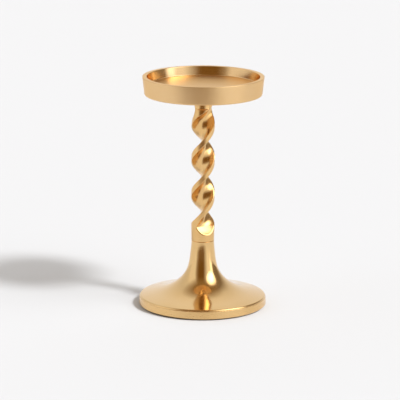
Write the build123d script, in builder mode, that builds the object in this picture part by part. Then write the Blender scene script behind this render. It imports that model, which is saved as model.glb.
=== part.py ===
# Spiral candle holder: a turned tray for a pillar candle on a twisted stem and a flared round foot.
# Millimetres, +Z up. The origin is on the table, under the middle of the foot, and the front is -Y.

import os
from math import cos, pi, radians, sin

from build123d import *

# Overall sizes
HEIGHT = 190.0
TRAY_RADIUS = 49.3
FOOT_RADIUS = 52.1
SEAM_Z = 54.2  # where the stem stands on the base
STEM_TOP_Z = 176.4  # where the tray's boss stands on the stem

# Tray
TRAY_BOTTOM_Z = 175.0
SKIRT_RADIUS = 47.6
WELL_DEPTH = 7.3
WELL_RADIUS = 45.8
WELL_FLOOR_RADIUS = 44.4
TRAY_FLOOR_THICKNESS = 2.6
RECESS_RADIUS = 44.0
BOSS_RADIUS = 8.0
RIM_ROUNDING = 0.4
WELL_CORNER = 0.6
SKIRT_ROUNDING = 1.2
BOSS_CORNER = 1.5

# Twisted stem
BAR_RADIUS = 9.5
COLLAR_FOOT_RADIUS = 9.3
COLLAR_SWELL_Z = 64.0
SHOULDER_Z = 149.0
SHOULDER_POINT = (8.4, 158.6)  # radius and height on the curve from bar to neck
NECK_Z = 164.5
NECK_RADIUS = 6.3
NECK_SLOPE = (-0.35, 1)  # of the shoulder's curve where it meets the neck
TWIST_PITCH = 59.0  # height of one full right-handed turn
LAND_FRONT_Z = 107.0  # one of the heights at which a land faces the front
LAND_WIDTH = 5.6
WEB_THICKNESS = 3.2
FLUTE_LOW_Z = 67.4  # where the flute starts to run out into the collar
FLUTE_HIGH_Z = 156.5  # where it starts to run out into the neck
BARREL_RADIUS = 7.2  # of the wall that it runs out on
BARREL_LENGTH = 10.0  # from the middle of the flute to the barrel's straight end
DOME_START = 1.3  # from the middle of the flute to where the barrel turns into its dome
END_LENGTH = 12.0  # height that an end takes up at most
CUT_MARGIN = 3.0  # how far a cut stands clear of the surface that it opens
FLUTE_RUNS = 4

# Trumpet base, as points of radius and height
FLARE_POINTS = [(10.35, 42.0), (12.95, 30.0), (20.6, 20.0), (33.0, 13.2)]
FLARE_TOP_SLOPE = (0.03, -1)
DISC_SLOPE = (1, -0.25)  # of the disc where its shoulder starts, and of the hollow's roof
SHOULDER_START = (46.8, 9.6)
LIP = (50.4, 7.8)
LIP_FOOT = (50.6, 7.45)
LEDGE = (51.7, 7.3)
FOOT_CHAMFER = 0.7
BOLT_WELL_RADIUS = 6.2
BOLT_WELL_TOP_Z = 36.5
SEAT_Z = 42.9
HOLLOW_POINTS = [(9.6, 29.0), (18.4, 17.6), (31.0, 10.6)]  # inside of the flare, about 3 mm of wall
HOLLOW_EDGE = (45.5, 6.0)

# Fixings: an M5 bolt from below and an M6 stud above
BOLT_RADIUS = 2.5
BOLT_HOLE_RADIUS = 2.75
BOLT_LENGTH = 20.0
HEAD_RADIUS = 4.25
HEAD_HEIGHT = 5.0
HEAD_CHAMFER = 0.4
SOCKET_WIDTH = 4.0  # across the flats
SOCKET_DEPTH = 2.5
WASHER_RADIUS = 5.0
WASHER_HOLE_RADIUS = 2.65
WASHER_THICKNESS = 1.0
SPRING_WASHER_RADIUS = 4.6
SPRING_WASHER_THICKNESS = 1.3
SPRING_WASHER_SLIT = 0.7
STUD_RADIUS = 3.0
STUD_LENGTH = 12.0
STUD_IN_TRAY = 5.0
THREAD_LEAD_IN = 0.5
HOLE_SPARE = 0.5  # depth of a tapped hole beyond its thread's end

# Pad
PAD_THICKNESS = 1.0
PAD_RADIUS = 50.3
PAD_HOLE_RADIUS = 45.5

well_floor_z = HEIGHT - WELL_DEPTH
recess_z = well_floor_z - TRAY_FLOOR_THICKNESS
stud_low_z = STEM_TOP_Z + STUD_IN_TRAY - STUD_LENGTH
spring_washer_z = SEAT_Z - WASHER_THICKNESS
head_top_z = spring_washer_z - SPRING_WASHER_THICKNESS
bolt_tip_z = head_top_z + BOLT_LENGTH

os.makedirs("parts", exist_ok=True)


# Tray: one turned section, with a tapped boss under the middle of its floor
with BuildPart() as candle_tray:
    with BuildSketch(Plane.XZ) as tray_section:
        with BuildLine():
            Polyline(
                (0, STEM_TOP_Z),
                (BOSS_RADIUS, STEM_TOP_Z),
                (BOSS_RADIUS, recess_z),
                (RECESS_RADIUS, recess_z),
                (RECESS_RADIUS, TRAY_BOTTOM_Z),
                (SKIRT_RADIUS, TRAY_BOTTOM_Z),
                (TRAY_RADIUS, HEIGHT),
                (WELL_RADIUS, HEIGHT),
                (WELL_FLOOR_RADIUS, well_floor_z),
                (0, well_floor_z),
                close=True,
            )
        make_face()
        rows = tray_section.vertices().group_by(Axis.Y)
        skirt_corners, boss_foot, recess_corners, well_corners, rim_corners = rows
        skirt_inside, skirt_outside = skirt_corners.sort_by(Axis.X)
        fillet(rim_corners + [skirt_inside], RIM_ROUNDING)
        fillet(skirt_outside, SKIRT_ROUNDING)
        fillet(well_corners.sort_by(Axis.X)[-1], WELL_CORNER)
        fillet(recess_corners, BOSS_CORNER)
    revolve(axis=Axis.Z)
    with BuildSketch(Plane.XY.offset(STEM_TOP_Z)):
        Circle(STUD_RADIUS)
    extrude(amount=STUD_IN_TRAY + HOLE_SPARE, mode=Mode.SUBTRACT)
candle_tray.part.label = "candle_tray"
export_step(candle_tray.part, "parts/candle_tray.step")


# Flutes: what is cut away on one side of the bar's web. The section is a shallow hollow from land to
# land that turns with the bar, swept in short runs. Each end runs out on a rounded wall: the form of a
# barrel that lies square across the flute, straight at one end and domed at the other.
def facing(z):
    """Direction in which the flute opens at height z, in degrees from +X."""
    return 360.0 * (z - LAND_FRONT_Z) / TWIST_PITCH


def flute_end(z):
    """Plane across the flute at height z: its X points outwards and its normal up the flute."""
    angle = radians(facing(z))
    outwards = Vector(cos(angle), sin(angle), 0)
    up_flute = Vector(-sin(angle), cos(angle), TWIST_PITCH / (2 * pi * BAR_RADIUS))
    return Plane(outwards * barrel_distance + Vector(0, 0, z), x_dir=outwards, z_dir=up_flute)


def swept_flute(low_z, high_z):
    """The flute between two heights, from its hollow out to clear air."""
    with BuildPart() as run:
        with BuildLine() as spine:
            Line((0, 0, low_z), (0, 0, high_z))
        turn = Helix(TWIST_PITCH, high_z - low_z, BAR_RADIUS, center=(0, 0, low_z), mode=Mode.PRIVATE)
        with BuildSketch(Plane.XY.offset(low_z).rotated((0, 0, facing(low_z)))):
            Circle(clear_radius)
            with Locations((half_web + hollow_radius, 0)):
                Circle(hollow_radius, mode=Mode.INTERSECT)
        sweep(path=spine.line, binormal=turn.edge())
    return run.part


half_web = WEB_THICKNESS / 2
half_land = LAND_WIDTH / 2
hollow_radius = (BAR_RADIUS**2 - half_web**2) / (2 * (half_land - half_web)) - half_web
clear_radius = BAR_RADIUS + CUT_MARGIN
barrel_distance = half_web + BARREL_RADIUS
low_end = flute_end(FLUTE_LOW_Z)
high_end = flute_end(FLUTE_HIGH_Z)
first_run_z = FLUTE_LOW_Z - END_LENGTH
last_run_z = FLUTE_HIGH_Z + END_LENGTH
run_length = (last_run_z - first_run_z) / FLUTE_RUNS

flute_cuts = []
for run in range(FLUTE_RUNS):
    run_z = first_run_z + run * run_length
    with BuildPart() as flute_run:
        add(swept_flute(run_z, run_z + run_length))
        if run == 0:
            split(bisect_by=low_end, keep=Keep.TOP)
        if run == FLUTE_RUNS - 1:
            split(bisect_by=high_end, keep=Keep.BOTTOM)
    flute_cuts.append(flute_run.part)

low_run_out = (low_end, Keep.BOTTOM, first_run_z, 1)
high_run_out = (high_end, Keep.TOP, last_run_z - run_length, -1)
for end, beyond, run_z, side in (low_run_out, high_run_out):
    with BuildPart() as run_out:
        add(swept_flute(run_z, run_z + run_length))
        split(bisect_by=end, keep=beyond)
        with BuildSketch(end):
            with BuildLine():
                dome_start = (BARREL_RADIUS, side * DOME_START)
                dome_end = (0, side * (DOME_START + BARREL_RADIUS))
                Polyline(dome_end, (0, -side * BARREL_LENGTH), (BARREL_RADIUS, -side * BARREL_LENGTH), dome_start)
                TangentArc(dome_start, dome_end, tangent=(0, side))
            make_face()
        revolve(axis=Axis(end.origin, end.y_dir), mode=Mode.INTERSECT)
    flute_cuts.append(run_out.part)


# Twisted stem: a turned bar with its collar, shoulder and neck, cut by two opposite flutes
with BuildPart() as twisted_stem:
    with BuildSketch(Plane.XZ):
        with BuildLine():
            Polyline(
                (0, SEAM_Z),
                (COLLAR_FOOT_RADIUS, SEAM_Z),
                (BAR_RADIUS, COLLAR_SWELL_Z),
                (BAR_RADIUS, SHOULDER_Z),
            )
            Spline(
                (BAR_RADIUS, SHOULDER_Z),
                SHOULDER_POINT,
                (NECK_RADIUS, NECK_Z),
                tangents=[(0, 1), NECK_SLOPE],
            )
            Polyline((NECK_RADIUS, NECK_Z), (NECK_RADIUS, STEM_TOP_Z), (0, STEM_TOP_Z), (0, SEAM_Z))
        make_face()
    revolve(axis=Axis.Z)
    with PolarLocations(0, 2):
        for cut in flute_cuts:
            add(cut, mode=Mode.SUBTRACT)
    with BuildSketch(Plane.XY.offset(SEAM_Z)):
        Circle(BOLT_RADIUS)
    extrude(amount=bolt_tip_z + HOLE_SPARE - SEAM_Z, mode=Mode.SUBTRACT)
    with BuildSketch(Plane.XY.offset(STEM_TOP_Z)):
        Circle(STUD_RADIUS)
    extrude(amount=stud_low_z - HOLE_SPARE - STEM_TOP_Z, mode=Mode.SUBTRACT)
twisted_stem.part.label = "twisted_stem"
export_step(twisted_stem.part, "parts/twisted_stem.step")


# Trumpet base: a flare that runs out into a sloping disc with a soft shoulder, a small ledge and a
# turned edge. It is hollow from below, up to the seat of the bolt.
with BuildPart() as trumpet_base:
    with BuildSketch(Plane.XZ) as base_section:
        with BuildLine():
            Line((0, SEAM_Z), (COLLAR_FOOT_RADIUS, SEAM_Z))
            Spline(
                (COLLAR_FOOT_RADIUS, SEAM_Z),
                *FLARE_POINTS,
                SHOULDER_START,
                tangents=[FLARE_TOP_SLOPE, DISC_SLOPE],
            )
            TangentArc(SHOULDER_START, LIP, tangent=DISC_SLOPE)
            Polyline(
                LIP,
                LIP_FOOT,
                LEDGE,
                (FOOT_RADIUS, PAD_THICKNESS),
                (HOLLOW_EDGE[0], PAD_THICKNESS),
                HOLLOW_EDGE,
            )
            Spline(
                HOLLOW_EDGE,
                *reversed(HOLLOW_POINTS),
                (BOLT_WELL_RADIUS, BOLT_WELL_TOP_Z),
                tangents=[(-DISC_SLOPE[0], -DISC_SLOPE[1]), (0, 1)],
            )
            Polyline((BOLT_WELL_RADIUS, BOLT_WELL_TOP_Z), (BOLT_WELL_RADIUS, SEAT_Z), (0, SEAT_Z), (0, SEAM_Z))
        make_face()
        foot_corner = base_section.vertices().group_by(Axis.Y)[0].sort_by(Axis.X)[-1]
        chamfer(foot_corner, FOOT_CHAMFER)
    revolve(axis=Axis.Z)
    with BuildSketch(Plane.XY.offset(SEAT_Z)):
        Circle(BOLT_HOLE_RADIUS)
    extrude(amount=SEAM_Z - SEAT_Z, mode=Mode.SUBTRACT)
trumpet_base.part.label = "trumpet_base"
export_step(trumpet_base.part, "parts/trumpet_base.step")


# Stud: threaded at both ends, half in the tray's boss and half in the stem's neck
with BuildPart() as tray_stud:
    with BuildSketch(Plane.XY.offset(stud_low_z)):
        Circle(STUD_RADIUS)
    extrude(amount=STUD_LENGTH)
    chamfer(tray_stud.edges().filter_by(GeomType.CIRCLE), THREAD_LEAD_IN)
tray_stud.part.label = "tray_stud"
export_step(tray_stud.part, "parts/tray_stud.step")


# Bolt: a socket-head screw that points up through the base into the stem's collar
with BuildPart() as base_bolt:
    with BuildSketch(Plane.XY.offset(head_top_z)):
        Circle(HEAD_RADIUS)
    extrude(amount=-HEAD_HEIGHT)
    chamfer(base_bolt.edges().filter_by(GeomType.CIRCLE).sort_by(Axis.Z)[0], HEAD_CHAMFER)
    with BuildSketch(Plane.XY.offset(head_top_z)):
        Circle(BOLT_RADIUS)
    extrude(amount=BOLT_LENGTH)
    chamfer(base_bolt.edges().filter_by(GeomType.CIRCLE).sort_by(Axis.Z)[-1], THREAD_LEAD_IN)
    with BuildSketch(Plane.XY.offset(head_top_z - HEAD_HEIGHT)):
        RegularPolygon(SOCKET_WIDTH / 2, 6, major_radius=False)
    extrude(amount=SOCKET_DEPTH, mode=Mode.SUBTRACT)
base_bolt.part.label = "base_bolt"
export_step(base_bolt.part, "parts/base_bolt.step")


# Washers: a split spring washer on the bolt's head, and a flat one between it and the seat
with BuildPart() as spring_washer:
    with BuildSketch(Plane.XY.offset(head_top_z)):
        Circle(SPRING_WASHER_RADIUS)
        Circle(WASHER_HOLE_RADIUS, mode=Mode.SUBTRACT)
        with Locations((SPRING_WASHER_RADIUS, 0)):
            Rectangle(2 * SPRING_WASHER_RADIUS, SPRING_WASHER_SLIT, mode=Mode.SUBTRACT)
    extrude(amount=SPRING_WASHER_THICKNESS)
spring_washer.part.label = "spring_washer"
export_step(spring_washer.part, "parts/spring_washer.step")

with BuildPart() as plain_washer:
    with BuildSketch(Plane.XY.offset(spring_washer_z)):
        Circle(WASHER_RADIUS)
        Circle(WASHER_HOLE_RADIUS, mode=Mode.SUBTRACT)
    extrude(amount=WASHER_THICKNESS)
plain_washer.part.label = "plain_washer"
export_step(plain_washer.part, "parts/plain_washer.step")


# Pad: a felt ring under the foot, cut back a little from its edge so that it hardly shows
with BuildPart() as foot_pad:
    with BuildSketch():
        Circle(PAD_RADIUS)
        Circle(PAD_HOLE_RADIUS, mode=Mode.SUBTRACT)
    extrude(amount=PAD_THICKNESS)
foot_pad.part.label = "foot_pad"
export_step(foot_pad.part, "parts/foot_pad.step")
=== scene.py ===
# Spiral candle holder: a turned brass tray on a twisted brass stem and a trumpet foot.
# The pieces follow one another as they are put together, from the table up.
# Their sizes are in millimetres and turned into metres by MM. The front is -Y and +Z is up.
import math

import bmesh
import bpy
import numpy as np
from mathutils import Matrix, Vector


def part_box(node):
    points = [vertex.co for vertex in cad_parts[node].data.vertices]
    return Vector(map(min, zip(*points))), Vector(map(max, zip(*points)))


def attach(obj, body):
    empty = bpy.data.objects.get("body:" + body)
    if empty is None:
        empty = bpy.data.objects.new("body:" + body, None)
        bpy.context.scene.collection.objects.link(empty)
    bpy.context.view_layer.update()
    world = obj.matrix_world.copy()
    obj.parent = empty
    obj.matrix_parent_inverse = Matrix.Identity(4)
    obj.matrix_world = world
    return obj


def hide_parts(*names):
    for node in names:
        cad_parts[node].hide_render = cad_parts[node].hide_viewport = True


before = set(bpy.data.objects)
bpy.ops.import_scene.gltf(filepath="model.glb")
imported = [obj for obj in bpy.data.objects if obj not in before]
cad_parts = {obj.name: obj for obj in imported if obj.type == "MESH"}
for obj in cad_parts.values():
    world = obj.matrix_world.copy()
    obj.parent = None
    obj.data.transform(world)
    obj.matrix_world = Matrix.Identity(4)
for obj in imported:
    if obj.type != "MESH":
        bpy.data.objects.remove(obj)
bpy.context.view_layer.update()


# Foot pad
# A ring of short dark felt, punched from sheet and glued under the foot's edge. It is a little
# smaller than the foot, so from the side it shows as a thin dark line on the table.
MM = 0.001
STEPS_ROUND = 224
ARC_STEPS = 6
ARC_SUPPORT = 0.12
MERGE_DISTANCE = 0.001
SHARP_ANGLE = math.radians(42)

PAD_OUTSIDE = 50.3
PAD_INSIDE = 45.5
PAD_ROUNDING = 0.3
FELT_COLOUR = (0.045, 0.038, 0.032)
FELT_DUST = (0.105, 0.095, 0.085)
FELT_ROUGHNESS = 0.95
FELT_SHEEN = 0.4
FIBRES_PER_METRE = 2200.0
FIBRE_SPAN = (0.35, 0.7)
TUFTS_PER_METRE = 350.0
TUFT_SHARE = 0.6
FUZZ_DEPTH = 0.06
FUZZ_STRENGTH = 0.6


def rounded_outline(corners):
    """Points of a closed outline, from corners of (radius, height, rounding).

    A support point just before and just after each rounding keeps the flat stretches shaded flat.
    """
    points = []
    for i, (radius, height, rounding) in enumerate(corners):
        corner = Vector((radius, height))
        if not rounding:
            points.append(corner)
            continue
        back = (Vector(corners[i - 1][:2]) - corner).normalized()
        onwards = (Vector(corners[(i + 1) % len(corners)][:2]) - corner).normalized()
        half_angle = back.angle(onwards) / 2
        reach = rounding / math.tan(half_angle)
        middle = corner + (back + onwards).normalized() * rounding / math.sin(half_angle)
        start = corner + back * reach - middle
        end = corner + onwards * reach - middle
        points.append(middle + start + back * ARC_SUPPORT)
        for step in range(ARC_STEPS + 1):
            spoke = start.slerp(end, step / ARC_STEPS).normalized()
            points.append(middle + spoke * rounding)
        points.append(middle + end + onwards * ARC_SUPPORT)
    return points


def mesh_piece(name, vertices, faces):
    """A smooth-shaded object from vertices in millimetres, with its faces turned outwards."""
    mesh = bpy.data.meshes.new(name)
    mesh.from_pydata([Vector(v) * MM for v in vertices], [], faces)
    shape = bmesh.new()
    shape.from_mesh(mesh)
    bmesh.ops.remove_doubles(shape, verts=shape.verts, dist=MERGE_DISTANCE * MM)
    bmesh.ops.recalc_face_normals(shape, faces=shape.faces)
    shape.to_mesh(mesh)
    shape.free()
    mesh.shade_smooth()
    piece = bpy.data.objects.new(name, mesh)
    bpy.context.scene.collection.objects.link(piece)
    return piece


def band(low, high, steps):
    """Faces between two rings of vertices, which start at the vertices numbered low and high."""
    faces = []
    for step in range(steps):
        after = (step + 1) % steps
        faces.append((low + step, low + after, high + after, high + step))
    return faces


def turned(name, outline):
    """The closed outline of (radius, height) points, turned once round the Z axis."""
    vertices = []
    for radius, height in outline:
        for step in range(STEPS_ROUND):
            angle = 2 * math.pi * step / STEPS_ROUND
            vertices.append((radius * math.cos(angle), radius * math.sin(angle), height))
    faces = []
    for ring in range(len(outline)):
        next_ring = (ring + 1) % len(outline)
        if outline[ring][0] == outline[next_ring][0] == 0:
            continue
        faces += band(ring * STEPS_ROUND, next_ring * STEPS_ROUND, STEPS_ROUND)
    piece = mesh_piece(name, vertices, faces)
    piece.data.set_sharp_from_angle(angle=SHARP_ANGLE)
    return piece


class Nodes:
    """The nodes of a material or of the room round it, added one by one and linked by sockets."""

    def __init__(self, owner):
        self.owner = owner
        owner.use_nodes = True
        self.tree = owner.node_tree
        self.shader = self.tree.nodes.get("Principled BSDF") or self.tree.nodes["Background"]

    def put(self, value, socket):
        """Links the input to another node's socket, or sets it to a plain value."""
        if isinstance(value, bpy.types.NodeSocket):
            self.tree.links.new(value, socket)
        else:
            socket.default_value = value

    def fill(self, node, inputs):
        """Puts something into each named input of the node. Names may have _ for a space."""
        for key, value in inputs.items():
            self.put(value, node.inputs[key.replace("_", " ")])

    def finish(self, **inputs):
        """Fills the inputs of the material's own shader, or of the room's."""
        self.fill(self.shader, inputs)

    def add(self, kind, settings=None, **inputs):
        node = self.tree.nodes.new(kind)
        for key, value in (settings or {}).items():
            setattr(node, key, value)
        self.fill(node, inputs)
        return node

    def place(self):
        """Where on the piece a point lies, in metres."""
        return self.add("ShaderNodeTexCoord").outputs["Object"]

    def noise(self, place, scale, detail, roughness=0.5):
        """Cloudy noise of about 0 to 1. The scale is in clouds for each unit of the place."""
        node = self.add("ShaderNodeTexNoise", Vector=place)
        self.fill(node, {"Scale": scale, "Detail": detail, "Roughness": roughness})
        return node.outputs["Fac"]

    def bump(self, height, depth, strength):
        """The surface's normal, tilted by a relief whose depth is in millimetres."""
        node = self.add("ShaderNodeBump", Strength=strength, Distance=depth * MM, Height=height)
        return node.outputs["Normal"]

    def maths(self, operation, first, second=0.0, third=0.0):
        node = self.add("ShaderNodeMath", {"operation": operation})
        for socket, value in zip(node.inputs, (first, second, third)):
            self.put(value, socket)
        return node.outputs[0]

    def remap(self, value, low, high, to_low, to_high):
        """The value, stretched from between low and high to between to_low and to_high."""
        node = self.add("ShaderNodeMapRange")
        for socket, number in zip(node.inputs, (value, low, high, to_low, to_high)):
            self.put(number, socket)
        return node.outputs[0]

    def mix(self, share, low, high):
        """Colour that goes from low to high as the share goes from 0 to 1."""
        node = self.add("ShaderNodeMix", {"data_type": "RGBA"})
        # The colour sockets share their names with others, so they are found by their places.
        self.put(share, node.inputs[0])
        self.put(low, node.inputs[6])
        self.put(high, node.inputs[7])
        return node.outputs[2]

    def ramp(self, share, stops):
        """Colour that passes through the stops, given as (place from 0 to 1, colour)."""
        node = self.add("ShaderNodeValToRGB", Fac=share)
        elements = node.color_ramp.elements
        while len(elements) < len(stops):
            elements.new(0.5)
        for element, (place, colour) in zip(elements, stops):
            element.position = place
            element.color = rgba(colour)
        return node.outputs["Color"]


def rgba(colour):
    return (*colour, 1.0)


def new_material(name):
    return Nodes(bpy.data.materials.new(name))


pad_low, pad_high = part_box("foot_pad")
pad_outline = rounded_outline([
    (PAD_INSIDE, pad_low[2] / MM, PAD_ROUNDING),
    (PAD_OUTSIDE, pad_low[2] / MM, PAD_ROUNDING),
    (PAD_OUTSIDE, pad_high[2] / MM, PAD_ROUNDING),
    (PAD_INSIDE, pad_high[2] / MM, PAD_ROUNDING),
])
foot_ring = turned("felt_foot_ring", pad_outline)

felt = new_material("dark_felt")
place = felt.place()
fibres = felt.noise(place, FIBRES_PER_METRE, detail=6.0, roughness=0.7)
tufts = felt.noise(place, TUFTS_PER_METRE, detail=3.0)
dust = felt.remap(fibres, *FIBRE_SPAN, 0.0, 1.0)
fluff = felt.maths("MULTIPLY_ADD", tufts, TUFT_SHARE, fibres)
felt.finish(
    Base_Color=felt.mix(dust, rgba(FELT_COLOUR), rgba(FELT_DUST)),
    Roughness=FELT_ROUGHNESS,
    Sheen_Weight=FELT_SHEEN,
    Normal=felt.bump(fluff, FUZZ_DEPTH, FUZZ_STRENGTH),
)
foot_ring.data.materials.append(felt.owner)
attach(foot_ring, "root")
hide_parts("foot_pad")


# Trumpet base
# One brass casting, turned all over: a flare that runs out into a gently sloping disc, with a
# soft shoulder, a small ledge and a straight edge. Below it is hollow, up to the bolt's seat.
base_low, base_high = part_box("trumpet_base")
SEAM_Z = base_high[2] / MM
FOOT_Z = base_low[2] / MM
FOOT_RADIUS = base_high[0] / MM
# A point of the outline is (radius, height), and a corner has its rounding after them.
SEAM_RADIUS = 9.3
SEAM_ROUNDING = 0.3
FLARE_POINTS = [(10.35, 42.0), (12.95, 30.0), (20.6, 20.0), (33.0, 13.2)]
FLARE_TOP_SLOPE = (0.03, -1.0)
DISC_SLOPE = (1.0, -0.25)
SHOULDER_START = (46.8, 9.6)
SHOULDER_CORNER = (51.2, 8.45, 1.3)
LIP_FOOT = (51.35, 7.3, 0.08)
LEDGE = (51.75, 7.15, 0.15)
FOOT_CHAMFER = 0.7
FOOT_EDGE_ROUNDING = 0.2
HOLLOW_EDGE = (45.5, 6.0)
HOLLOW_POINTS = [(31.0, 10.6), (18.4, 17.6), (9.6, 29.0)]
HOLLOW_SLOPE = (-1.0, 0.25)
BOLT_WELL_RADIUS = 6.2
BOLT_WELL_TOP_Z = 36.5
SEAT_Z = 42.9
BOLT_HOLE_RADIUS = 2.75
STRAIGHT_UP = (0, 1)
CURVE_STEPS = 14

BASE_BRASS = (0.80, 0.535, 0.245)
BASE_BRASS_DEEP = (0.75, 0.46, 0.17)
BASE_ROUGHNESS = 0.25
LINE_SPACING = 0.9
LINE_DRIFT = 14.0
LINE_DEPTH = 0.045
LINE_STRENGTH = 0.3
LINE_SPAN = (0.25, 0.75)
SMOOTHEST_LINE = -0.04
ROUGHEST_LINE = 0.05
POLISHED_SHARE = 0.5
POLISH_EDGE = 0.1
POLISH_RISE = 0.3
CLOUDS_PER_METRE = 38.0
CLOUD_SPAN = (0.3, 0.72)
CLOUD_SHARE = 0.35
LACQUER_WEIGHT = 0.12
LACQUER_ROUGHNESS = 0.12
BRUSH_STRETCH = 0.4
BRUSH_TURN = 0.25


def smooth_curve(points, start_slope, end_slope):
    """Cubic spline through the points with given end slopes, as corners that have no rounding."""
    knots = np.array(points, float)
    spans = np.linalg.norm(np.diff(knots, axis=0), axis=1)
    count = len(knots)
    matrix = np.eye(count)
    known = np.zeros_like(knots)
    known[0] = np.array(start_slope) / np.hypot(*start_slope)
    known[-1] = np.array(end_slope) / np.hypot(*end_slope)
    for i in range(1, count - 1):
        before, after = spans[i - 1], spans[i]
        slope_before = (knots[i] - knots[i - 1]) / before
        slope_after = (knots[i + 1] - knots[i]) / after
        matrix[i, i - 1:i + 2] = after, 2 * (before + after), before
        known[i] = 3 * (after * slope_before + before * slope_after)
    slopes = np.linalg.solve(matrix, known)
    curve = []
    for i in range(count - 1):
        for t in np.arange(CURVE_STEPS) / CURVE_STEPS:
            curve.append(
                (1 + 2 * t) * (1 - t) ** 2 * knots[i]
                + t * (1 - t) ** 2 * spans[i] * slopes[i]
                + t * t * (3 - 2 * t) * knots[i + 1]
                + t * t * (t - 1) * spans[i] * slopes[i + 1]
            )
    curve.append(knots[-1])
    return [(float(r), float(z), 0) for r, z in curve]


flare = smooth_curve(
    [(SEAM_RADIUS, SEAM_Z - SEAM_ROUNDING), *FLARE_POINTS, SHOULDER_START], FLARE_TOP_SLOPE, DISC_SLOPE
)
hollow = smooth_curve(
    [HOLLOW_EDGE, *HOLLOW_POINTS, (BOLT_WELL_RADIUS, BOLT_WELL_TOP_Z)], HOLLOW_SLOPE, STRAIGHT_UP
)
base_outline = rounded_outline([
    (BOLT_HOLE_RADIUS, SEAM_Z, 0),
    (SEAM_RADIUS - SEAM_ROUNDING, SEAM_Z, 0),
    *flare,
    SHOULDER_CORNER,
    LIP_FOOT,
    LEDGE,
    (FOOT_RADIUS, FOOT_Z + FOOT_CHAMFER, FOOT_EDGE_ROUNDING),
    (FOOT_RADIUS - FOOT_CHAMFER, FOOT_Z, FOOT_EDGE_ROUNDING),
    (HOLLOW_EDGE[0], FOOT_Z, FOOT_EDGE_ROUNDING),
    *hollow,
    (BOLT_WELL_RADIUS, SEAT_Z, 0),
    (BOLT_HOLE_RADIUS, SEAT_Z, 0),
])
trumpet = turned("turned_trumpet_base", base_outline)


def turned_brass(name, colour, deep_colour, roughness, polished_radius, polished_z):
    """Lacquered brass, brushed round the Z axis, but polished inside a radius above a height."""
    brass = new_material(name)
    place = brass.place()
    x, y, z = brass.add("ShaderNodeSeparateXYZ", Vector=place).outputs
    x_squared = brass.maths("MULTIPLY", x, x)
    y_squared = brass.maths("MULTIPLY", y, y)
    radius = brass.maths("SQRT", brass.maths("ADD", x_squared, y_squared))

    # The brush lines follow the radius and the height, and wander a little from side to side.
    lines_per_metre = 1 / (LINE_SPACING * MM)
    drift = 1 / (LINE_DRIFT * MM)
    across = brass.maths("MULTIPLY_ADD", radius, lines_per_metre, brass.maths("MULTIPLY", x, drift))
    along = brass.maths("MULTIPLY_ADD", z, lines_per_metre, brass.maths("MULTIPLY", y, drift))
    line_place = brass.add("ShaderNodeCombineXYZ", X=across, Y=along).outputs[0]
    lines = brass.noise(line_place, scale=1.0, detail=5.0, roughness=0.65)
    line_roughness = brass.remap(
        lines, *LINE_SPAN, roughness + SMOOTHEST_LINE, roughness + ROUGHEST_LINE
    )

    edge_radius = polished_radius * MM
    edge_z = polished_z * MM
    outside = brass.remap(radius, edge_radius, edge_radius + POLISH_EDGE * MM, POLISHED_SHARE, 1.0)
    below = brass.remap(z, edge_z, edge_z + POLISH_RISE * MM, 1.0, POLISHED_SHARE)
    brushed = brass.maths("MAXIMUM", outside, below)

    clouds = brass.noise(place, CLOUDS_PER_METRE, detail=3.0, roughness=0.55)
    cloud_depth = brass.remap(clouds, *CLOUD_SPAN, 0.0, CLOUD_SHARE)
    round_the_axis = brass.add("ShaderNodeTangent", {"direction_type": "RADIAL", "axis": "Z"})
    brass.finish(
        Base_Color=brass.mix(cloud_depth, rgba(colour), rgba(deep_colour)),
        Metallic=1.0,
        Roughness=brass.maths("MULTIPLY", line_roughness, brushed),
        Normal=brass.bump(lines, LINE_DEPTH, LINE_STRENGTH),
        Tangent=round_the_axis.outputs[0],
        Anisotropic=BRUSH_STRETCH,
        Anisotropic_Rotation=BRUSH_TURN,
        Coat_Weight=LACQUER_WEIGHT,
        Coat_Roughness=LACQUER_ROUGHNESS,
    )
    return brass


shoulder_z = SHOULDER_CORNER[1]
base_brass = turned_brass(
    "turned_brass_base", BASE_BRASS, BASE_BRASS_DEEP, BASE_ROUGHNESS, FOOT_RADIUS, shoulder_z
)
trumpet.data.materials.append(base_brass.owner)
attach(trumpet, "root")
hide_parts("trumpet_base")


# Bolt, washers and stud
# Zinc-plated steel. The bolt and its two washers hold the base to the stem from inside the hollow
# foot and show only from below. The stud joins the stem to the tray, and nothing of it shows.
ZINC = (0.56, 0.56, 0.57)
ZINC_SHADE = (0.42, 0.43, 0.45)
ZINC_ROUGHNESS = (0.28, 0.42)
SPANGLES_PER_METRE = 900.0
NOISE_SPAN = (0.3, 0.7)

zinc = new_material("zinc_plated_steel")
spangle = zinc.noise(zinc.place(), SPANGLES_PER_METRE, detail=3.0)
zinc.finish(
    Base_Color=zinc.mix(spangle, rgba(ZINC), rgba(ZINC_SHADE)),
    Metallic=1.0,
    Roughness=zinc.remap(spangle, *NOISE_SPAN, *ZINC_ROUGHNESS),
)
for node in ("base_bolt", "spring_washer", "plain_washer", "tray_stud"):
    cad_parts[node].data.materials.clear()
    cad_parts[node].data.materials.append(zinc.owner)


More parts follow.
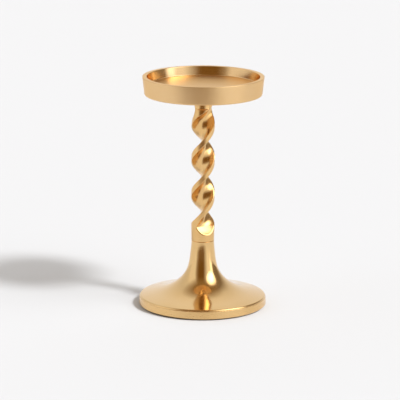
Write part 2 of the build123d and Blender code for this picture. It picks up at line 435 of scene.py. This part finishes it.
# Twisted stem
# One brass casting, polished: a round bar with two opposite flutes that turn with it, which leaves
# a thin web between two rounded lands. Each flute ends on a ramp with a dished floor, which runs
# out at the plain collar below and at the plain neck above.
stem_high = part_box("twisted_stem")[1]
STEM_TOP_Z = stem_high[2] / MM
BAR_RADIUS = 9.5
COLLAR_FOOT_RADIUS = 9.3
COLLAR_SWELL_Z = 64.0
SHOULDER_Z = 149.0
SHOULDER_POINT = (8.4, 158.6)
NECK_Z = 164.5
NECK_RADIUS = 7.2
NECK_SLOPE = (-0.35, 1.0)
TWIST_PITCH = 59.0
LAND_FRONT_Z = 107.0
LAND_WIDTH = 5.6
WEB_THICKNESS = 3.2
TWIST_LOW_Z = 66.4
TWIST_HIGH_Z = 168.0
RAMP_LOW_Z = 77.0
RAMP_LOW_RADIUS = 22.0
RAMP_HIGH_Z = 153.0
RAMP_HIGH_RADIUS = 16.0
DISH_RADIUS = 30.0
DISH_START = 8.0
EDGE_ROUNDING = 0.5
SEAM_ARC_INSET = 0.3 * SEAM_ROUNDING
SEAM_ROWS = 3
STEM_STEPS_ROUND = 264
STEM_STEP_UP = 0.32
SEARCH_STEPS = 22

STEM_BRASS = (0.81, 0.53, 0.24)
STEM_BRASS_DEEP = (0.76, 0.44, 0.14)
STEM_ROUGHNESS = (0.20, 0.25)
STEM_CLOUDS_PER_METRE = 55.0
STEM_CLOUD_SHARE = 0.5
SCRATCHES_PER_METRE = 900.0
WAVES_PER_METRE = 110.0
WAVE_DEPTH = 0.02
WAVE_STRENGTH = 0.2

# A flute's hollow is a circle that leaves the web in the middle and the lands at the sides.
half_web = WEB_THICKNESS / 2
half_land = LAND_WIDTH / 2
hollow_radius = (BAR_RADIUS**2 - half_web**2) / (2 * (half_land - half_web)) - half_web

shoulder_curve = smooth_curve(
    [(BAR_RADIUS, SHOULDER_Z), SHOULDER_POINT, (NECK_RADIUS, NECK_Z)], STRAIGHT_UP, NECK_SLOPE
)
bar_outline = np.array([
    (COLLAR_FOOT_RADIUS - SEAM_ROUNDING, SEAM_Z),
    (COLLAR_FOOT_RADIUS - SEAM_ARC_INSET, SEAM_Z + SEAM_ARC_INSET),
    (COLLAR_FOOT_RADIUS, SEAM_Z + SEAM_ROUNDING),
    (BAR_RADIUS, COLLAR_SWELL_Z),
    *[(r, z) for r, z, _ in shoulder_curve],
    (NECK_RADIUS, STEM_TOP_Z),
])


def soft_max(first, second):
    """The larger of two distances, with their corner rounded off."""
    share = np.clip(0.5 + 0.5 * (first - second) / EDGE_ROUNDING, 0, 1)
    return second + (first - second) * share + EDGE_ROUNDING * share * (1 - share)


def facing(z):
    """Direction in which the first flute opens: it turns with the bar up to the flute's ends."""
    return 2 * math.pi * (np.clip(z, TWIST_LOW_Z, TWIST_HIGH_Z) - LAND_FRONT_Z) / TWIST_PITCH


def flute_cut(x, y, z, turn):
    """Distance into the flute and its dished end ramps, below zero where metal is cut away."""
    angle = facing(z) + turn
    outwards = x * np.cos(angle) + y * np.sin(angle)
    sideways = y * np.cos(angle) - x * np.sin(angle)
    hollow = np.hypot(outwards - half_web - hollow_radius, sideways) - hollow_radius
    beyond = np.maximum(np.maximum(RAMP_LOW_Z - z, z - RAMP_HIGH_Z), 0)
    radius = np.where(z < LAND_FRONT_Z, RAMP_LOW_RADIUS, RAMP_HIGH_RADIUS)
    dish = sideways**2 / (2 * DISH_RADIUS) * np.clip(beyond / DISH_START, 0, 1)
    ramp = np.hypot(outwards - dish - half_web - radius, beyond) - radius
    return np.maximum(hollow, ramp)


rows = np.concatenate([
    np.linspace(SEAM_Z, SEAM_Z + SEAM_ROUNDING, SEAM_ROWS + 1)[:-1],
    np.arange(SEAM_Z + SEAM_ROUNDING, STEM_TOP_Z, STEM_STEP_UP),
    [STEM_TOP_Z],
])
columns = np.arange(STEM_STEPS_ROUND) * 2 * math.pi / STEM_STEPS_ROUND
height, column = np.meshgrid(rows, columns, indexing="ij")
direction = column + facing(height)
bar = np.interp(height, bar_outline[:, 1], bar_outline[:, 0])

# The surface is looked for in each direction from the axis, by halving the distance between a
# point inside the web and one outside the bar.
inner = np.full_like(height, half_web / 2)
outer = bar + EDGE_ROUNDING
for _ in range(SEARCH_STEPS):
    middle = (inner + outer) / 2
    x = middle * np.cos(direction)
    y = middle * np.sin(direction)
    solid = middle - bar
    for turn in (0, math.pi):
        solid = soft_max(solid, -flute_cut(x, y, height, turn))
    inside = solid < 0
    inner = np.where(inside, middle, inner)
    outer = np.where(inside, outer, middle)
surface = (inner + outer) / 2

stem_points = np.stack([surface * np.cos(direction), surface * np.sin(direction), height], -1)
vertices = stem_points.reshape(-1, 3).tolist()
faces = []
for row in range(len(rows) - 1):
    faces += band(row * STEM_STEPS_ROUND, (row + 1) * STEM_STEPS_ROUND, STEM_STEPS_ROUND)
faces.append(tuple(reversed(range(STEM_STEPS_ROUND))))
faces.append(tuple(range(len(vertices) - STEM_STEPS_ROUND, len(vertices))))
stem = mesh_piece("polished_twisted_stem", vertices, faces)

polished = new_material("polished_brass_stem")
place = polished.place()
clouds = polished.noise(place, STEM_CLOUDS_PER_METRE, detail=4.0, roughness=0.6)
waves = polished.noise(place, WAVES_PER_METRE, detail=2.0)
scratches = polished.noise(place, SCRATCHES_PER_METRE, detail=4.0)
cloud_depth = polished.remap(clouds, *NOISE_SPAN, 0.0, STEM_CLOUD_SHARE)
polished.finish(
    Base_Color=polished.mix(cloud_depth, rgba(STEM_BRASS), rgba(STEM_BRASS_DEEP)),
    Metallic=1.0,
    Roughness=polished.remap(scratches, *NOISE_SPAN, *STEM_ROUGHNESS),
    Normal=polished.bump(waves, WAVE_DEPTH, WAVE_STRENGTH),
)
stem.data.materials.append(polished.owner)
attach(stem, "root")
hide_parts("twisted_stem")


# Candle tray
# One brass casting, turned all over and brushed round its wall: a thick flat rim, a wall that
# tapers towards the bottom, a flat floor inside and a recess below with a boss in its middle.
tray_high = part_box("candle_tray")[1]
RIM_Z = tray_high[2] / MM
TRAY_BOTTOM_Z = 175.0
TRAY_RADIUS = 49.3
SKIRT_RADIUS = 47.6
SKIRT_ROUNDING = 1.2
RIM_ROUNDING = 0.4
WELL_DEPTH = 7.3
WELL_RADIUS = 45.8
WELL_FLOOR_RADIUS = 44.4
WELL_FILLET = 0.6
TRAY_FLOOR_THICKNESS = 2.6
RECESS_RADIUS = 44.0
RECESS_FILLET = 1.5
BOSS_RADIUS = 8.0
BOSS_ROUNDING = 0.3
STUD_HOLE_RADIUS = 3.0
STUD_HOLE_DEPTH = 5.5
TRAY_BRASS = (0.82, 0.565, 0.295)
TRAY_BRASS_DEEP = (0.77, 0.49, 0.21)
TRAY_GRAZING_TINT = (0.97, 0.84, 0.64)
TRAY_ROUGHNESS = 0.34
POLISH_ABOVE_FLOOR = 0.3

stud_hole_top_z = STEM_TOP_Z + STUD_HOLE_DEPTH
well_floor_z = RIM_Z - WELL_DEPTH
recess_z = well_floor_z - TRAY_FLOOR_THICKNESS
tray_outline = rounded_outline([
    (0, stud_hole_top_z, 0),
    (STUD_HOLE_RADIUS, stud_hole_top_z, 0),
    (STUD_HOLE_RADIUS, STEM_TOP_Z, 0),
    (BOSS_RADIUS, STEM_TOP_Z, BOSS_ROUNDING),
    (BOSS_RADIUS, recess_z, RECESS_FILLET),
    (RECESS_RADIUS, recess_z, RECESS_FILLET),
    (RECESS_RADIUS, TRAY_BOTTOM_Z, RIM_ROUNDING),
    (SKIRT_RADIUS, TRAY_BOTTOM_Z, SKIRT_ROUNDING),
    (TRAY_RADIUS, RIM_Z, RIM_ROUNDING),
    (WELL_RADIUS, RIM_Z, RIM_ROUNDING),
    (WELL_FLOOR_RADIUS, well_floor_z, WELL_FILLET),
    (0, well_floor_z, 0),
])
tray = turned("turned_candle_tray", tray_outline)

polished_wall_z = well_floor_z + POLISH_ABOVE_FLOOR
tray_brass = turned_brass(
    "turned_brass_tray", TRAY_BRASS, TRAY_BRASS_DEEP, TRAY_ROUGHNESS, WELL_RADIUS, polished_wall_z
)
tray_brass.finish(Specular_Tint=rgba(TRAY_GRAZING_TINT))
tray.data.materials.append(tray_brass.owner)
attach(tray, "root")
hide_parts("candle_tray")


# Studio
# Pale paper on a table, in a light room that is brown overhead, behind the camera and beside its
# window. A high lamp at the right lights the paper and casts the shadow. A broad soft glow and the
# tall window, both at the right, give the brass its highlights.
PAPER = (0.636, 0.653, 0.680)
PAPER_GLOW = 0.03
PAPER_WIDTH = 6.0
TABLE_EDGE_Y = -0.42
PAPER_BACK_Y = 4.0

paper_mesh = bpy.data.meshes.new("paper")
paper_corners = [
    (-PAPER_WIDTH / 2, TABLE_EDGE_Y, 0),
    (PAPER_WIDTH / 2, TABLE_EDGE_Y, 0),
    (PAPER_WIDTH / 2, PAPER_BACK_Y, 0),
    (-PAPER_WIDTH / 2, PAPER_BACK_Y, 0),
]
paper_mesh.from_pydata(paper_corners, [], [(0, 1, 2, 3)])
floor = bpy.data.objects.new("paper", paper_mesh)
bpy.context.scene.collection.objects.link(floor)
paper = new_material("pale_paper")
rays = paper.add("ShaderNodeLightPath").outputs
seen = paper.maths("MAXIMUM", rays["Is Camera Ray"], rays["Is Glossy Ray"])
paper.finish(
    Base_Color=rgba(PAPER),
    Roughness=1.0,
    Specular_IOR_Level=0.0,
    Emission_Color=(1, 1, 1, 1),
    Emission_Strength=paper.maths("MULTIPLY", seen, PAPER_GLOW),
)
paper_mesh.materials.append(paper.owner)


def grey(level):
    return (level, level, level)


# The brightness of the room's walls by direction, in degrees to the right of the camera.
ROOM = [
    (-180, grey(0.98)),
    (-135, grey(0.75)),
    (-108, grey(0.80)),
    (-95, grey(0.95)),
    (-60, grey(0.95)),
    (-45, (0.38, 0.30, 0.21)),
    (-29, (0.20, 0.105, 0.025)),
    (8, (0.20, 0.105, 0.025)),
    (29, (0.75, 0.73, 0.70)),
    (42, grey(1.10)),
    (58, grey(1.10)),
    (66, grey(1.90)),
    (77, grey(1.90)),
    (87, (0.28, 0.22, 0.16)),
    (125, (0.26, 0.21, 0.16)),
    (150, grey(0.80)),
    (180, grey(0.98)),
]
CEILING = (0.30, 0.20, 0.09)
CEILING_REACH = (0.76, 0.96)
BACKGROUND = grey(0.922)
GLOW = 2.6
GLOW_REACH = (math.radians(26), math.radians(12))
GLOW_AZIMUTH = math.radians(66)
LAMP_AZIMUTH = math.radians(55)
LAMP_ELEVATION = math.radians(46)
LAMP_STRENGTH = 2.55
LAMP_WIDTH = math.radians(9)


def way_to(azimuth, elevation):
    """Direction seen from the object, with the azimuth to the right of the camera."""
    level = math.cos(elevation)
    return Vector((math.sin(azimuth) * level, -math.cos(azimuth) * level, math.sin(elevation)))


world = bpy.data.worlds.new("studio")
bpy.context.scene.world = world
room = Nodes(world)
ray_way = room.add("ShaderNodeTexCoord").outputs["Generated"]
x, y, z = room.add("ShaderNodeSeparateXYZ", Vector=ray_way).outputs
around = room.maths("ARCTAN2", x, room.maths("MULTIPLY", y, -1))
turn_share = room.remap(around, -math.pi, math.pi, 0.0, 1.0)
walls = room.ramp(turn_share, [(azimuth / 360 + 0.5, colour) for azimuth, colour in ROOM])
overhead = room.remap(z, *CEILING_REACH, 0.0, 1.0)
walls_and_ceiling = room.mix(overhead, walls, rgba(CEILING))
towards_glow = room.add("ShaderNodeVectorMath", {"operation": "DOT_PRODUCT"})
room.put(ray_way, towards_glow.inputs[0])
room.put(way_to(GLOW_AZIMUTH, LAMP_ELEVATION), towards_glow.inputs[1])
glow = room.remap(towards_glow.outputs["Value"], *map(math.cos, GLOW_REACH), 0.0, GLOW)
lit = room.add("ShaderNodeVectorMath", {"operation": "ADD"})
room.put(walls_and_ceiling, lit.inputs[0])
room.put(glow, lit.inputs[1])
seen = room.add("ShaderNodeLightPath").outputs["Is Camera Ray"]
room.finish(Color=room.mix(seen, lit.outputs[0], rgba(BACKGROUND)))

# The lamp isn't mirrored in the brass, where it would leave small hard glints.
lamp_way = way_to(LAMP_AZIMUTH, LAMP_ELEVATION)
lamp_data = bpy.data.lights.new("key_lamp", "SUN")
lamp_data.energy = LAMP_STRENGTH
lamp_data.angle = LAMP_WIDTH
lamp = bpy.data.objects.new("key_lamp", lamp_data)
lamp.location = lamp_way
lamp.visible_glossy = False
lamp.rotation_euler = (-lamp_way).to_track_quat("-Z", "Y").to_euler()
bpy.context.scene.collection.objects.link(lamp)


# Camera
# Where the photographer stood: a little above the tray and far back, with a long lens. The frame
# is tilted by about a quarter of a degree, as the photograph's is.
CAMERA_AIM = Vector((-0.00236, 0, 0.0875))
CAMERA_ELEVATION = math.radians(13.24)
CAMERA_DISTANCE = 2.0856
CAMERA_LENS = 230.4
CAMERA_ROLL = 0.0041
SENSOR_WIDTH = 36
FARTHEST_SEEN = 20

camera_data = bpy.data.cameras.new("camera")
camera_data.lens = CAMERA_LENS
camera_data.sensor_width = SENSOR_WIDTH
camera_data.clip_end = FARTHEST_SEEN
camera = bpy.data.objects.new("camera", camera_data)
camera.location = CAMERA_AIM + CAMERA_DISTANCE * way_to(0, CAMERA_ELEVATION)
look = (CAMERA_AIM - camera.location).to_track_quat("-Z", "Y").to_matrix()
camera.rotation_euler = (look @ Matrix.Rotation(CAMERA_ROLL, 3, "Z")).to_euler()
bpy.context.scene.collection.objects.link(camera)
bpy.context.scene.camera = camera
bpy.context.scene.view_settings.view_transform = "Standard"
